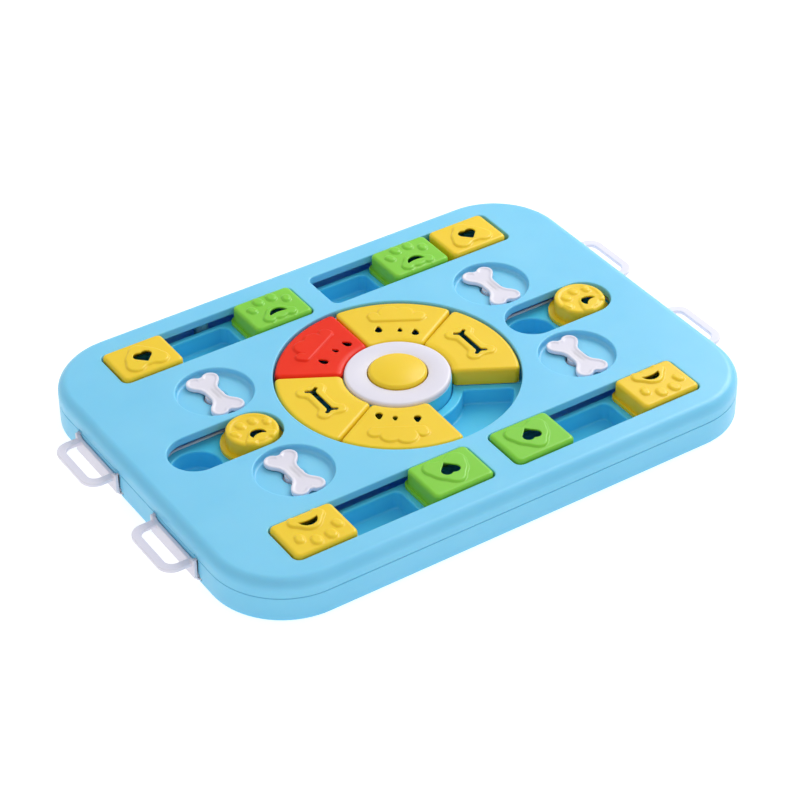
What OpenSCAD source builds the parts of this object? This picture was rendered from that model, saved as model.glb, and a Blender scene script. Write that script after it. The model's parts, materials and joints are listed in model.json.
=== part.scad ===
// Sliding treat puzzle board for dogs.
// +X runs along the long side, +Y to the back, +Z up. The origin is the
// middle of the board on the surface that the feet stand on.

/* [Board] */
// Length of the board, without the side clips
board_length = 340; // [330:1:400]
// Width of the board
board_width = 252; // [248:1:300]
// Height of the housing, from the underside of the base to the top face
board_height = 25.8; // [24:0.1:36]
// Radius of the four vertical corners
corner_radius = 45; // [30:1:50]
// Radius of the rounded top edge
edge_radius = 6.5; // [3:0.1:8]
// Thickness of the outer walls
wall = 2.6; // [2.2:0.1:3.2]
// Thickness of the flat top of the cover
top_plate = 2.8; // [2.2:0.1:3.2]
// Height of the seam under the top face
seam_drop = 10.8; // [9:0.1:12]
// Width and height of the shadow line at the seam
seam_groove = 0.5; // [0.2:0.1:0.8]

/* [Openings in the cover] */
// Width of the bridges between the wheel opening and the straight slots
wheel_bridge = 4.9; // [4.3:0.1:6]
// Width of the four straight slots
slot_width = 32; // [31:0.1:33]
// Distance of the slots' middle lines from the board's front and back edges
slot_inset = 33.1; // [32:0.1:34]
// Radius of the straight slots' corners
slot_corner = 4.5; // [2:0.1:6]
// Depth of the lip that hangs from the edge of each opening
lip_depth = 5; // [4:0.1:5.6]
// Thickness of that lip
lip_wall = 1.6; // [1.2:0.1:1.7]
// Space between a bone recess and the straight slot beside it
recess_outer_gap = 11.6; // [8:0.1:12]
// Space between a bone recess and the round-ended slot beside it
recess_inner_gap = 4.5; // [4:0.1:6]
// Depth of the bone recesses
recess_depth = 4.3; // [4:0.1:4.6]
// Distance from a round-ended slot's inner stop to the recesses, along the board
recess_shift = 0.8; // [0:0.1:3]

/* [Treat wells] */
// Height of the tray decks under the top face
deck_drop = 10.2; // [9.8:0.1:10.6]
// Thickness of the decks and of the wells' walls
tray_wall = 1.5; // [1.2:0.1:1.8]
// Radius of the corners of the rectangular wells
well_corner = 4.4; // [3:0.1:8]
// Width of the flat rim in front of and behind a rectangular well
well_rim = 1.6; // [1:0.1:2.4]
// Space between the outsides of two wells in a row
well_spacing = 2.8; // [2:0.1:4]
// Radius of the round wells
round_well_r = 14.2; // [12:0.1:14.6]
// Inner radius of the wheel's wells
wheel_well_in = 37.5; // [36:0.1:40]
// Distance from the wheel's wells to the edge of the wheel opening
wheel_well_rim = 5.5; // [4:0.1:9]
// Distance from a wheel well to the line between two positions
wheel_well_side = 4.6; // [3.4:0.1:6]

/* [Sliding blocks] */
// Length of a block's body
block_length = 38.6; // [37:0.1:39]
// Gap between a block or slider and the sides of its slot
slide_gap = 1; // [0.6:0.1:1.3]
// Height that the blocks stand above the top face
block_rise = 2.2; // [1.5:0.1:3.5]
// Overhang of a block's foot flange
block_flange = 1.7; // [1.4:0.1:1.8]
// Thickness of the foot flanges
flange_thick = 2.2; // [1.6:0.1:3]
// Radius of the blocks' vertical corners
block_corner = 3.4; // [2.4:0.1:4.4]
// Radius of the blocks' top edges
block_edge = 2; // [1:0.1:2.3]
// Thickness of the blocks' walls
block_wall = 2.2; // [1.6:0.1:2.6]
// Distance from the outermost stop to the end of the board
stop_inset = 56; // [54:0.5:58]
// Position of the innermost stop from the board's middle
inner_stop = 27; // [26.6:0.1:27.4]
// Distance of the pair that rests side by side from the outermost stop
pair_shift = 1.8; // [1:0.1:2.4]
// Height of the raised motifs
motif_rise = 0.7; // [0.4:0.1:0.9]

/* [Round sliders] */
// Radius of a round slider's body
slider_r = 15; // [14.4:0.1:15.2]
// Overhang of its round foot flange
slider_flange = 3.3; // [2.6:0.1:3.5]
// Height that it stands above the top face
slider_rise = 1.4; // [0.8:0.1:3]
// Distance of a round slot's inner end from the wheel opening
round_slot_near = 6.5; // [5:0.1:8]
// Distance of its outer end from the end of the board
round_slot_far = 22; // [20:0.1:24]
// Rest distance of the left slider from its inner stop
left_slider_shift = 1.8; // [0.5:0.1:12]
// Rest distance of the right slider from its outer stop
right_slider_shift = 3; // [0.5:0.1:12]

/* [Wheel] */
// Gap between the wheel's lids and the edge of the wheel opening
lid_gap = 1.4; // [1.2:0.1:2]
// Inner radius of the lids
lid_in = 32.4; // [32:0.1:33.4]
// Angle that one lid covers
lid_angle = 59.2; // [57:0.1:59.5]
// Angle by which the wheel is turned at rest
wheel_rest_turn = -0.7; // [-2:0.1:2]
// Depth of the lids' tops under the top face
lid_drop = 1.8; // [1:0.1:2.2]
// Height of a lid
lid_height = 9.4; // [8.4:0.1:9.8]
// Overhang of the lids' outer foot flange
lid_flange = 2.6; // [2:0.1:2.8]
// Outer radius of the white hub ring
hub_ring_r = 31; // [30.4:0.1:31.2]
// Thickness of the hub ring
hub_ring_thick = 3.3; // [2.6:0.1:3.6]
// Radius of the push button
button_r = 17.5; // [16:0.1:18]
// Travel of the push button
button_travel = 3; // [2:0.1:3.2]
// Height of the pressed button's dome above the top face
button_left = 1; // [0.6:0.1:1.6]
// Overhang of the button's foot flange under the hub ring
button_flange = 2.4; // [1.6:0.1:3]

/* [Bones] */
// Gap between a bone's ends and the edge of its recess
bone_end_gap = 2.4; // [1:0.1:4]
// Width of a bone over its end knobs
bone_width = 21; // [18:0.1:22]
// Width of a bone's shaft
bone_shaft = 8.8; // [7:0.1:10]
// Depth of the bones' tops under the top face
bone_drop = 1.2; // [0.6:0.1:1.6]
// Radius of the bone's pivot boss
pivot_r = 5.6; // [4.8:0.1:5.8]
// Gap round the pivot boss
pivot_gap = 0.8; // [0.3:0.1:1]

/* [Side clips] */
// Width of a side clip
clip_width = 47.5; // [40:0.5:50]
// Distance of the clips' middles from the board's middle line
clip_offset = 43.3; // [38:0.1:48]
// How far the loop stands out from the board's side
clip_reach = 18.5; // [16:0.5:22]
// Width of the loop's bar
clip_bar = 5; // [4:0.1:5.4]
// Thickness of the loop and of the plate
clip_thick = 2.4; // [2:0.1:2.8]
// Radius of the clip's hinge pin
clip_pin_r = 0.8; // [0.6:0.05:0.9]
// Running clearance of the pins
pin_clearance = 0.05; // [0.02:0.01:0.1]

/* [Feet and screws] */
// How far the rubber feet stand out under the base
foot_rise = 0.8; // [0.8:0.1:2]
// Radius of a foot
foot_r = 7; // [5:0.1:9]
// Radius of the case screws
screw_r = 1.5; // [1.2:0.05:1.6]
// Gap between parts that only lie beside each other
free_gap = 0.3; // [0.2:0.05:0.35]

/* [Hidden] */

$fn = 48;
eps = 0.01;
far = 400;
sky = "#93d5f5";
deep = "#5fbde8";
snow = "#e8e8f2";
sun = "#f2d64f";
leaf = "#a0dc64";
coral = "#f5553f";
steel = "#b8bcc0";
soot = "#3a3d40";

// Heights
base_z = foot_rise;
top_z = base_z + board_height;
seam_z = top_z - seam_drop;
floor_z = base_z + wall;
deck_z = top_z - deck_drop;
lip_z = top_z - lip_depth;
well_z = floor_z + tray_wall;
lid_top_z = top_z - lid_drop;
lid_z = lid_top_z - lid_height;
wheel_deck_z = lid_z - 0.2;
block_z = deck_z + 0.15;

// Straight slots and their blocks
block_width = slot_width - 2 * slide_gap;
slot_offset = board_width / 2 - slot_inset;
outer_stop = board_length / 2 - stop_inset;
block_pitch = (outer_stop - inner_stop) / 2;
slot_in = inner_stop - block_length / 2 - slide_gap;
slot_out = outer_stop + block_length / 2 + slide_gap;
slot_mid = (slot_in + slot_out) / 2;
touch_gap = 0.1;
tray_side = block_flange + lip_wall - slide_gap - free_gap + touch_gap;
tray_length = slot_out - slot_in + 2 * tray_side;
tray_width = slot_width + 2 * tray_side;
rect_well_x = block_pitch - 2 * tray_wall - well_spacing;
rect_well_y = slot_width - 2 * well_rim;
// The pair of blocks that rests side by side, foot against foot
pair_outer = outer_stop - pair_shift;
pair_inner = pair_outer - block_length - 2 * block_flange - touch_gap;

// Wheel opening, round slots and their sliders
wheel_opening_r = slot_offset - slot_width / 2 - wheel_bridge;
round_slot_in = wheel_opening_r + round_slot_near;
round_slot_out = board_length / 2 - round_slot_far;
guide_gap = 0.4;
guide_wall = 1.4;
guide_height = 1.3;
round_half = slider_r + slide_gap;
guide_half = slider_r + slider_flange + guide_gap;
round_near = round_slot_in + round_half;
round_far = round_slot_out - round_half;
left_slider_x = -round_near - left_slider_shift;
right_slider_x = round_far - right_slider_shift;

// Wheel
wheel_tray_r = wheel_opening_r + lip_wall + free_gap;
wheel_well_out = wheel_opening_r - wheel_well_rim;
lid_out = wheel_opening_r - lid_gap;
hub_top_z = top_z - hub_ring_thick;
hub_bore = button_r + button_flange + free_gap;
button_rise = button_travel + button_left;
button_dome = 1.6;
hub_ring_gap = 0.5;
ring_edge = 0.8;
button_edge = 2.4;
button_flange_z = hub_top_z - flange_thick - free_gap / 2;
reed_height = 3;
lid_centres = [120, 60, 0, 180, -120];
hole_inset = 9.4;
hole_pitch = 8.6;

// Bones and their recesses
recess_r = (slot_offset - slot_width / 2 - recess_outer_gap - recess_inner_gap - round_half) / 2;
recess_y = round_half + recess_inner_gap + recess_r;
recess_x = round_near + recess_shift;
bone_length = 2 * (recess_r - bone_end_gap);
bone_gap = 0.35;
bone_thick = recess_depth - bone_drop - bone_gap;
bone_screw_r = 1.1;
bone_dish = 0.7;
bone_rim = 1.7;
recess_floor = 1.8;
bone_top_z = top_z - bone_drop;
recess_z = top_z - recess_depth;
washer_r = 9;
washer_thick = 1.4;
washer_top_z = recess_z - recess_floor - free_gap;

// Case screws
post_r = 4.4;
post_inset = 22;
post_x = board_length / 2 - post_inset;
post_y = board_width / 2 - post_inset - 6;
side_post_x = 62;
side_post_y = board_width / 2 - wall - post_r - 0.7;
head_r = 2 * screw_r;
head_top_z = base_z + wall * 0.65;
screw_bite = 7;
foot_seat_z = base_z + 1;

// Side clips
hinge_r = 2.1;
hinge_gap = 0.4;
hinge_z = base_z + hinge_r + 0.2;
clip_face = board_length / 2 + 0.25;
hinge_x = board_length / 2 - 0.6;
hinge_block = 8;
ear_rise = 0.9;
ear_width = 4;
hook_depth = 0.9;
pin_length = clip_width + 5;
plate_top_z = seam_z - 2.8;

function post_places() = concat(
    [for (sx = [-1, 1], sy = [-1, 1]) [sx * post_x, sy * post_y]],
    [for (sx = [-1, 1], sy = [-1, 1]) [sx * side_post_x, sy * side_post_y]]);
function recess_places() = [for (sx = [-1, 1], sy = [-1, 1]) [sx * recess_x, sy * recess_y]];
function clip_places() = [for (sx = [-1, 1], sy = [-1, 1]) [sx, sy * clip_offset]];

// ---------- flat shapes ----------

module rounded_rect(length, width, r) {
    square([length - 2 * r, width], center = true);
    square([length, width - 2 * r], center = true);
    for (sx = [-1, 1], sy = [-1, 1])
        translate([sx * (length / 2 - r), sy * (width / 2 - r)]) circle(r);
}

// A bar with round ends between two points. A slanting bar's sides lie just inside
// its ends, because there rounding would leave slivers where the two are tangent.
module bar(a, b, r) {
    d = b - a;
    half = d[0] * d[1] == 0 ? r : r - eps / 2;
    translate(a) circle(r);
    translate(b) circle(r);
    translate(a) rotate(atan2(d[1], d[0])) translate([0, -half]) square([norm(d), 2 * half]);
}

// A closed outline with round corners of radius r round the given points
module soft_outline(points, r) {
    n = len(points);
    polygon(points);
    for (i = [0 : n - 1]) bar(points[i], points[(i + 1) % n], r);
}

module obround(near, away, r) bar([near, 0], [away, 0], r);

// A heart whose tip points to -Y
module heart(size) {
    r = size / 3.4;
    rotate(45) square(2 * r, center = true);
    for (s = [-1, 1]) rotate(45 + 45 * (1 + s)) translate([r, 0]) circle(r);
}

// A bow-shaped band with round ends, hollow side to +Y
module bow(r, width, half_angle) {
    points = [for (step = [-3 : 2 : 3]) r * [sin(step / 3 * half_angle), -cos(step / 3 * half_angle)]];
    for (i = [0 : 2]) bar(points[i], points[i + 1], width / 2);
}

module bone_outline(length, width, shaft) {
    knob = (width + shaft * 0.25) / 4.3;
    bar([0, knob - length / 2], [0, length / 2 - knob], shaft / 2);
    for (sx = [-1, 1], sy = [-1, 1])
        translate([sx * (width / 2 - knob), sy * (length / 2 - knob)]) circle(knob);
}

// One place of the wheel, drawn in as much as side from the lines beside it
module wheel_place(near, away, side) {
    shift = side / sin(30);
    intersection() {
        difference() {
            circle(away);
            circle(near);
        }
        translate([shift, 0])
            polygon([[0, 0], far * [cos(30), -sin(30)], far * [cos(30), sin(30)]]);
    }
}

// ---------- solid helpers ----------

module pin(r, z0, z1) translate([0, 0, z0]) cylinder(r = r, h = z1 - z0);

// Half of a section with a rounded upper outer corner, from the axis to the rim
module rim_section(half, height, edge) {
    square([half - edge, height]);
    square([half, height - edge]);
    translate([half - edge, height - edge]) intersection() {
        circle(edge);
        square(edge);
    }
}

// A rounded rectangular body whose top edge is rounded all round
module pillow(length, width, height, corner, edge) {
    core = [length, width] - [2 * corner, 2 * corner];
    translate([0, 0, height / 2]) cube([core[0], core[1], height], center = true);
    for (turn = [0 : 3]) {
        run = core[turn % 2];
        near = core[(turn + 1) % 2] / 2;
        rotate(90 * turn) translate([-run / 2, near, 0]) rotate([90, 0, 90])
            linear_extrude(run) rim_section(corner, height, edge);
        rotate(90 * turn) translate([run / 2, near, 0])
            rotate_extrude(angle = 90) rim_section(corner, height, edge);
    }
}

module at_slots() for (sx = [-1, 1], sy = [-1, 1]) translate([sx * slot_mid, sy * slot_offset]) children();

// All openings of the cover, grown outwards by the given amount
module cover_openings(grow) {
    circle(wheel_opening_r + grow, $fn = 96);
    at_slots() rounded_rect(slot_out - slot_in + 2 * grow, slot_width + 2 * grow, slot_corner + grow);
    for (side = [0, 1]) mirror([side, 0]) obround(round_near, round_far, round_half + grow);
}

// ---------- housing ----------

module top_cover() color(sky) difference() {
    union() {
        difference() {
            translate([0, 0, seam_z])
                pillow(board_length, board_width, seam_drop, corner_radius, edge_radius);
            translate([0, 0, seam_z - eps]) pillow(board_length - 2 * wall, board_width - 2 * wall,
                seam_drop - top_plate + eps, corner_radius - wall, edge_radius - wall);
        }
        translate([0, 0, lip_z]) linear_extrude(lip_depth - eps) cover_openings(lip_wall);
        for (p = recess_places()) translate(p)
            pin(recess_r + lip_wall, recess_z - recess_floor, top_z - top_plate + eps);
        for (p = post_places()) translate(p) pin(post_r, floor_z, top_z - top_plate + eps);
    }
    translate([0, 0, lip_z - 1]) linear_extrude(far) cover_openings(0);
    for (p = recess_places()) translate(p) {
        pin(recess_r, recess_z, far);
        pin(pivot_r + pivot_gap, lip_z - far, far);
    }
    for (p = post_places()) translate(p) pin(screw_r + pin_clearance, 0, floor_z + screw_bite + 1);
    for (c = clip_places()) translate([c[0] * board_length / 2, c[1], 0]) ear_notches();
}

// The two small catches for a clip's ears
module ear_notches() for (s = [-1, 1])
    translate([-hook_depth - free_gap, s * (clip_width / 2 - ear_width / 2) - ear_width / 2, seam_z - 1])
        cube([far, ear_width, ear_rise + 1 + free_gap]);

// Where the hinge blocks stand, grown outwards by the given amount
module hinge_blocks(grow) for (c = clip_places())
    translate([c[0] * (board_length - hinge_block - hinge_gap) / 2, c[1]])
        square([hinge_block + 2 * grow, clip_width + hinge_block + 2 * grow], center = true);

// The board's outline, drawn in by the given amount
module board_outline(inset)
    rounded_rect(board_length - 2 * inset, board_width - 2 * inset, corner_radius - inset);

module base_rim() color(sky) difference() {
    union() {
        translate([0, 0, base_z]) linear_extrude(seam_z - base_z) difference() {
            board_outline(0);
            board_outline(wall);
        }
        translate([0, 0, base_z + eps]) linear_extrude(hinge_block) hinge_blocks(0);
    }
    translate([0, 0, seam_z - seam_groove]) linear_extrude(far) difference() {
        board_outline(-1);
        board_outline(seam_groove);
    }
    for (c = clip_places()) translate([c[0] * hinge_x, c[1], hinge_z]) rotate([90, 0, 0]) {
        cylinder(r = hinge_r + hinge_gap, h = clip_width + 2 * hinge_gap, center = true);
        cylinder(r = clip_pin_r + pin_clearance, h = pin_length + 0.2, center = true);
    }
    for (c = clip_places()) translate([c[0] * (board_length / 2), c[1], base_z])
        cube([2 * (hinge_r + touch_gap), clip_width + 2 * hinge_gap, 2 * (hinge_z - base_z)], center = true);
}

module bottom_plate() color(sky) difference() {
    translate([0, 0, base_z]) linear_extrude(floor_z - base_z) difference() {
        board_outline(wall + touch_gap);
        hinge_blocks(touch_gap);
    }
    for (p = post_places()) translate(p) {
        pin(screw_r + pin_clearance, 0, far);
        pin(head_r + free_gap, 0, head_top_z);
    }
    for (p = foot_places()) translate(p) pin(foot_r + touch_gap, 0, foot_seat_z);
}

// ---------- trays ----------

module rect_well(grow, z0, z1) translate([0, 0, z0]) linear_extrude(z1 - z0)
    rounded_rect(rect_well_x + 2 * grow, rect_well_y + 2 * grow, well_corner + grow);

module slot_tray(sx, sy) color(deep) translate([sx * slot_mid, sy * slot_offset, 0]) difference() {
    union() {
        translate([0, 0, deck_z - tray_wall]) linear_extrude(tray_wall)
            rounded_rect(tray_length, tray_width, slot_corner);
        for (i = [-1, 0, 1]) translate([i * block_pitch, 0, 0])
            rect_well(tray_wall, floor_z, deck_z - eps);
    }
    for (i = [-1, 0, 1]) translate([i * block_pitch, 0, 0]) rect_well(0, well_z, far);
}

module back_left_tray() slot_tray(-1, 1);
module back_right_tray() slot_tray(1, 1);
module front_left_tray() slot_tray(-1, -1);
module front_right_tray() slot_tray(1, -1);

module round_tray(side) color(deep) mirror([side, 0, 0]) difference() {
    union() {
        translate([0, 0, deck_z - tray_wall]) linear_extrude(tray_wall)
            obround(round_near, round_far, guide_half + guide_wall);
        for (x = [round_near, round_far]) translate([x, 0, 0])
            pin(round_well_r + tray_wall, floor_z, deck_z - eps);
    }
    for (x = [round_near, round_far]) translate([x, 0, 0]) pin(round_well_r, well_z, far);
}

module left_round_tray() round_tray(1);
module right_round_tray() round_tray(0);

module guide_ring(side) color(snow) mirror([side, 0, 0]) translate([0, 0, deck_z])
    linear_extrude(guide_height) difference() {
        obround(round_near, round_far, guide_half + guide_wall);
        obround(round_near, round_far, guide_half);
    }

module left_guide_ring() guide_ring(1);
module right_guide_ring() guide_ring(0);

// One of the six sectors of the wheel's tray
module wheel_tray(centre) color(deep) rotate(centre) difference() {
    union() {
        translate([0, 0, wheel_deck_z - tray_wall]) linear_extrude(tray_wall)
            wheel_place(hub_ring_r + free_gap, wheel_tray_r, touch_gap / 2);
        translate([0, 0, floor_z]) linear_extrude(wheel_deck_z - floor_z - eps)
            wheel_place(wheel_well_in - tray_wall, wheel_well_out + tray_wall,
                wheel_well_side - tray_wall);
    }
    translate([0, 0, well_z]) linear_extrude(far)
        wheel_place(wheel_well_in, wheel_well_out, wheel_well_side);
}

module wheel_tray_right() wheel_tray(0);
module wheel_tray_back_right() wheel_tray(60);
module wheel_tray_back_left() wheel_tray(120);
module wheel_tray_left() wheel_tray(180);
module wheel_tray_front_left() wheel_tray(240);
module wheel_tray_front_right() wheel_tray(300);

// The cup in the wheel's middle that carries the hub ring and holds the squeaker
module squeaker_cup() color(deep) difference() {
    pin(hub_ring_r, floor_z, hub_top_z);
    pin(hub_bore, well_z, far);
}

// ---------- wheel ----------

module hub_ring() color(snow) translate([0, 0, hub_top_z]) rotate_extrude($fn = 96)
    translate([button_r + hub_ring_gap, 0])
        rim_section(hub_ring_r - button_r - hub_ring_gap, hub_ring_thick, ring_edge);

// A cap with a rounded shoulder, a shallow dome and a foot flange
module push_button() color(sun) translate([0, 0, button_flange_z]) rotate_extrude($fn = 96) {
    shoulder = top_z + button_rise - button_dome - button_flange_z;
    flat_r = button_r - button_edge;
    dome_r = (pow(flat_r, 2) + pow(button_dome, 2)) / (2 * button_dome);
    square([button_r + button_flange, flange_thick]);
    rim_section(button_r, shoulder, button_edge);
    intersection() {
        translate([0, shoulder + button_dome - dome_r]) circle(dome_r, $fn = 360);
        translate([0, shoulder - button_edge]) square([flat_r, 2 * button_edge]);
    }
}

module squeaker_bellows() color(snow) {
    folds = 4;
    step = (button_flange_z - well_z - reed_height) / folds;
    rotate_extrude() for (i = [0 : folds - 1]) translate([0, well_z + reed_height + i * step])
        polygon([[0, 0], [9, 0], [12, step / 2], [9, step], [0, step]]);
}

module squeaker_reed() color(snow) {
    pin(10, well_z, well_z + reed_height / 2);
    pin(5, well_z + reed_height / 2 - eps, well_z + reed_height);
}

module lid_body(r0, r1, z0, z1, edge, half) translate([0, 0, z0]) rotate(-half)
    rotate_extrude(angle = 2 * half, $fn = 96) translate([r0, 0]) {
        translate([edge, 0]) square([r1 - r0 - 2 * edge, z1 - z0]);
        square([r1 - r0, z1 - z0 - edge]);
        for (x = [edge, r1 - r0 - edge]) translate([x, z1 - z0 - edge]) circle(edge);
    }

module wheel_lid(centre, motif) rotate(centre + wheel_rest_turn) difference() {
    union() {
        lid_body(lid_in, lid_out, lid_z, lid_top_z, 1.2, lid_angle / 2);
        lid_body(lid_out - 4, lid_out + lid_flange, lid_z, lid_z + 1.6, 0.2, lid_angle / 2);
        translate([0, 0, lid_top_z - 0.5]) linear_extrude(motif_rise + 0.5)
            if (motif == "bone") bone_frame(); else cloud();
    }
    translate([0, 0, lid_z - 1]) linear_extrude(lid_height - 1.2)
        wheel_place(lid_in + block_wall, lid_out - block_wall, block_wall);
    translate([0, 0, lid_z]) linear_extrude(far)
        if (motif == "bone") bone_hole(); else three_holes();
}

// A raised bone with a bone-shaped hole in it, lying across the lid
module bone_frame() translate([(lid_in + lid_out) / 2 + 1, 0]) bone_outline(29, 15, 7);
module bone_hole() translate([(lid_in + lid_out) / 2 + 1, 0]) bone_outline(20, 7.6, 3.4);

// A cloud with its flat side to the hub
module cloud() translate([lid_out - 13.5, 0]) {
    bar([0, -13], [0, 13], 3);
    translate([2.6, -9.5]) circle(4.2);
    translate([4, -3]) circle(5);
    translate([3.6, 4.6]) circle(4.8);
    translate([2, 11]) circle(3.8);
}

module three_holes() translate([lid_in + hole_inset, 0]) for (i = [-1, 0, 1])
    translate([i == 0 ? -0.6 : 0, i * hole_pitch]) rotate(180)
        soft_outline((i == 0 ? 1.1 : 1.6) * [[-1, 0], [0.6, -1.15], [0.6, 1.15]], i == 0 ? 0.5 : 0.8);

module wheel_lid_red() color(coral) wheel_lid(lid_centres[0], "cloud");
module wheel_lid_back() color(sun) wheel_lid(lid_centres[1], "cloud");
module wheel_lid_right() color(sun) wheel_lid(lid_centres[2], "bone");
module wheel_lid_left() color(sun) wheel_lid(lid_centres[3], "bone");
module wheel_lid_front() color(sun) wheel_lid(lid_centres[4], "cloud");

// ---------- blocks ----------

// A toe of a paw, pointing away from the pad
module toe(x, y, turn) translate([x, y]) rotate(turn) bar([0, -1], [0, 1.2], 2.1);

module paw_toes(spread) {
    toe(-spread * 1.5, -1.2, 32);
    toe(-spread * 0.55, 2, 10);
    toe(spread * 0.55, 2, -10);
    toe(spread * 1.5, -1.2, -32);
}

module paw_pad() soft_outline([[-5.4, -3.6], [5.4, -3.6], [0, 2.6]], 3);

module leaf_pad() soft_outline([[-7, -4.6], [7, -4.6], [0, 6.4]], 4);

// Raised part of a block's motif, drawn for a block whose toes point to +Y
module raised_motif(kind) {
    if (kind == "paw") {
        translate([0, 5.6]) paw_toes(5.2);
        translate([0, -4.2]) paw_pad();
    } else leaf_pad();
}

module cut_motif(kind) {
    if (kind == "paw") translate([0, -3]) bow(4.4, 2.4, 55);
    else translate([0, -0.6]) heart(8);
}

module sliding_block(x, sy, kind, turn) translate([x, sy * slot_offset, 0]) difference() {
    union() {
        translate([0, 0, block_z]) pillow(block_length, block_width, top_z + block_rise - block_z,
            block_corner, block_edge);
        translate([0, 0, block_z]) linear_extrude(flange_thick)
            rounded_rect(block_length + 2 * block_flange, block_width + 2 * block_flange, block_corner);
        translate([0, 0, top_z + block_rise - 0.5]) linear_extrude(motif_rise + 0.5)
            rotate(turn) raised_motif(kind);
    }
    translate([0, 0, block_z - 1]) linear_extrude(top_z + block_rise - block_z - 1.2)
        rounded_rect(block_length - 2 * block_wall, block_width - 2 * block_wall, 1.6);
    translate([0, 0, block_z]) linear_extrude(far) rotate(turn) cut_motif(kind);
}

module back_left_yellow_block() color(sun) sliding_block(-outer_stop, 1, "leaf", 90);
module back_left_green_block() color(leaf) sliding_block(-inner_stop, 1, "paw", 0);
module back_right_green_block() color(leaf) sliding_block(pair_inner, 1, "paw", 0);
module back_right_yellow_block() color(sun) sliding_block(pair_outer, 1, "leaf", 90);
module front_left_yellow_block() color(sun) sliding_block(-outer_stop, -1, "paw", 180);
module front_left_green_block() color(leaf) sliding_block(-inner_stop, -1, "leaf", 90);
module front_right_green_block() color(leaf) sliding_block(inner_stop, -1, "leaf", 90);
module front_right_yellow_block() color(sun) sliding_block(outer_stop, -1, "paw", 180);

module round_slider(x) color(sun) translate([x, 0, 0]) difference() {
    union() {
        translate([0, 0, block_z]) rotate_extrude()
            rim_section(slider_r, top_z + slider_rise - block_z, block_edge);
        pin(slider_r + slider_flange, block_z, block_z + flange_thick);
        translate([0, 0, top_z + slider_rise - 0.5]) linear_extrude(motif_rise + 0.5)
            rotate(55) scale(0.9) raised_motif("paw");
    }
    pin(slider_r - block_wall, block_z - 1, top_z + slider_rise - 2.2);
    translate([0, 0, block_z]) linear_extrude(far) rotate(55) scale(0.9) cut_motif("paw");
}

module left_round_slider() round_slider(left_slider_x);
module right_round_slider() round_slider(right_slider_x);

// ---------- bones ----------

module at_recess(sx, sy) translate([sx * recess_x, sy * recess_y, 0]) children();

module bone(sx, sy) color(snow) at_recess(sx, sy) difference() {
    union() {
        translate([0, 0, bone_top_z - bone_thick]) linear_extrude(bone_thick)
            bone_outline(bone_length, bone_width, bone_shaft);
        pin(pivot_r, washer_top_z, bone_top_z - 1);
    }
    translate([0, 0, bone_top_z - bone_dish]) linear_extrude(far)
        bone_outline(bone_length - 2 * bone_rim, bone_width - 2 * bone_rim, bone_shaft - 2 * bone_rim);
    pin(bone_screw_r + pin_clearance, 0, bone_top_z - bone_dish - free_gap);
}

module bone_washer(sx, sy) color(snow) at_recess(sx, sy) difference() {
    pin(washer_r, washer_top_z - washer_thick, washer_top_z);
    pin(bone_screw_r + pin_clearance, 0, far);
}

module bone_screw(sx, sy) color(steel) at_recess(sx, sy) {
    head_z = washer_top_z - washer_thick;
    pin(bone_screw_r, head_z - eps, bone_top_z - bone_dish - 2 * free_gap);
    pin(2 * bone_screw_r, head_z - bone_screw_r, head_z);
}

module bone_back_left() bone(-1, 1);
module bone_back_right() bone(1, 1);
module bone_front_left() bone(-1, -1);
module bone_front_right() bone(1, -1);
module bone_washer_back_left() bone_washer(-1, 1);
module bone_washer_back_right() bone_washer(1, 1);
module bone_washer_front_left() bone_washer(-1, -1);
module bone_washer_front_right() bone_washer(1, -1);
module bone_screw_back_left() bone_screw(-1, 1);
module bone_screw_back_right() bone_screw(1, 1);
module bone_screw_front_left() bone_screw(-1, -1);
module bone_screw_front_right() bone_screw(1, -1);

// ---------- side clips ----------

// An ear at a clip's upper corner, with the hook that catches in the cover
module ear(s) translate([clip_face, s * (clip_width - ear_width) / 2, 0]) {
    ear_top_z = seam_z + ear_rise;
    half = s * ear_width / 2;
    rotate([90, 0, 90]) linear_extrude(clip_thick) polygon([[-2 * half, plate_top_z - eps],
        [half, plate_top_z - eps], [half, ear_top_z], [half / 2, ear_top_z]]);
    translate([-hook_depth, (half - ear_width / 2) / 2, seam_z + touch_gap])
        cube([hook_depth + clip_thick / 2, ear_width / 2, ear_rise - touch_gap]);
}

// A clip on the right-hand side; the left ones are its mirror image
module clip(sx, sy) color(snow) mirror([sx < 0 ? 1 : 0, 0, 0]) translate([0, sy * clip_offset, 0]) {
    translate([clip_face, -clip_width / 2, hinge_z]) cube([clip_thick, clip_width, plate_top_z - hinge_z]);
    for (s = [-1, 1]) ear(s);
    difference() {
        union() {
            translate([hinge_x, clip_width / 2, hinge_z]) rotate([90, 0, 0])
                cylinder(r = hinge_r, h = clip_width);
            translate([hinge_x, -clip_width / 2, hinge_z])
                cube([clip_face + clip_thick - hinge_x, clip_width, hinge_r]);
        }
        translate([hinge_x, clip_width / 2 + 1, hinge_z]) rotate([90, 0, 0])
            cylinder(r = clip_pin_r + pin_clearance, h = clip_width + 2);
    }
    loop_w = clip_width - 4;
    translate([clip_face, 0, plate_top_z - clip_thick]) linear_extrude(clip_thick) intersection() {
        difference() {
            rounded_rect(2 * clip_reach, loop_w, 9);
            rounded_rect(2 * (clip_reach - clip_bar), loop_w - 2 * clip_bar, 5);
        }
        translate([0, -clip_width]) square([far, 2 * clip_width]);
    }
}

module clip_left_back() clip(-1, 1);
module clip_left_front() clip(-1, -1);
module clip_right_back() clip(1, 1);
module clip_right_front() clip(1, -1);

module clip_pins() color(steel) for (c = clip_places())
    translate([c[0] * hinge_x, c[1], hinge_z]) rotate([90, 0, 0])
        cylinder(r = clip_pin_r, h = pin_length, center = true);

// ---------- screws and feet ----------

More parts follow.
